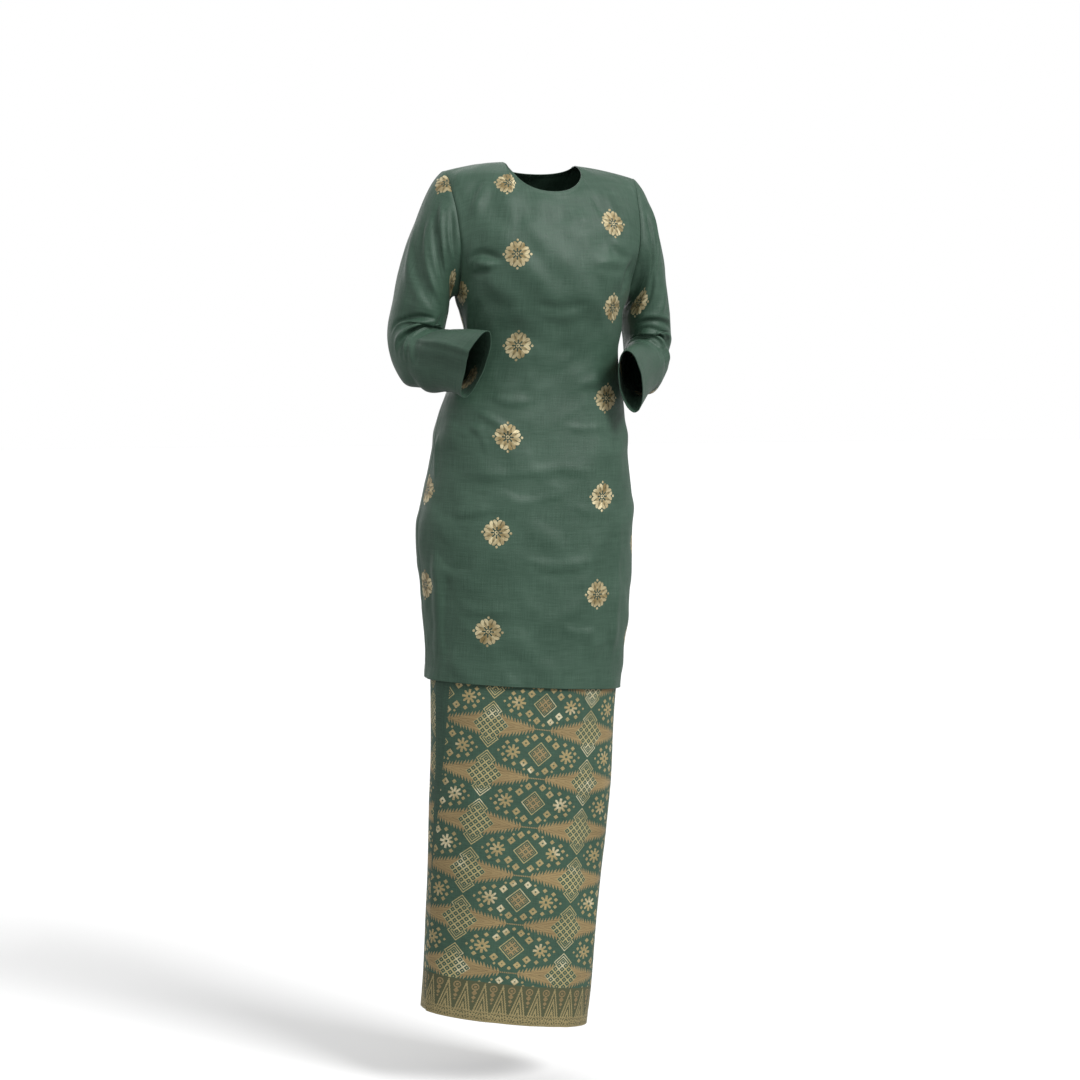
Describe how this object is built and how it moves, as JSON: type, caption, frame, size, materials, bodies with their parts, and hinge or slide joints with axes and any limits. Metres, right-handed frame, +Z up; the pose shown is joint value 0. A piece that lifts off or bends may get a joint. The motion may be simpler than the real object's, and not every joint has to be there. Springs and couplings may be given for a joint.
{
  "type": "baju kurung",
  "caption": "Long tunic with set-in sleeves over a wrapped songket skirt, in the hollow form and pose in which it is worn.",
  "frame": {"origin": "middle of the neck opening, level with the shoulders that carry the tunic", "axes": "+Z up along the garment, -Y out of the front, +X towards the wearer's left"},
  "size_m": [0.4894, 0.2745, 1.4497],
  "materials": {
    "tunic_cloth": "satin",
    "songket_cloth": "satin",
    "trim_cloth": "matte"
  },
  "bodies": {
    "root": {"tunic_front": "tunic_cloth", "tunic_back": "tunic_cloth", "sleeve_right": "tunic_cloth", "sleeve_left": "tunic_cloth", "neck_button": "trim_cloth", "neck_loop": "trim_cloth", "skirt_wrap": "songket_cloth", "skirt_waistband": "trim_cloth"}
  },
  "joints": []
}
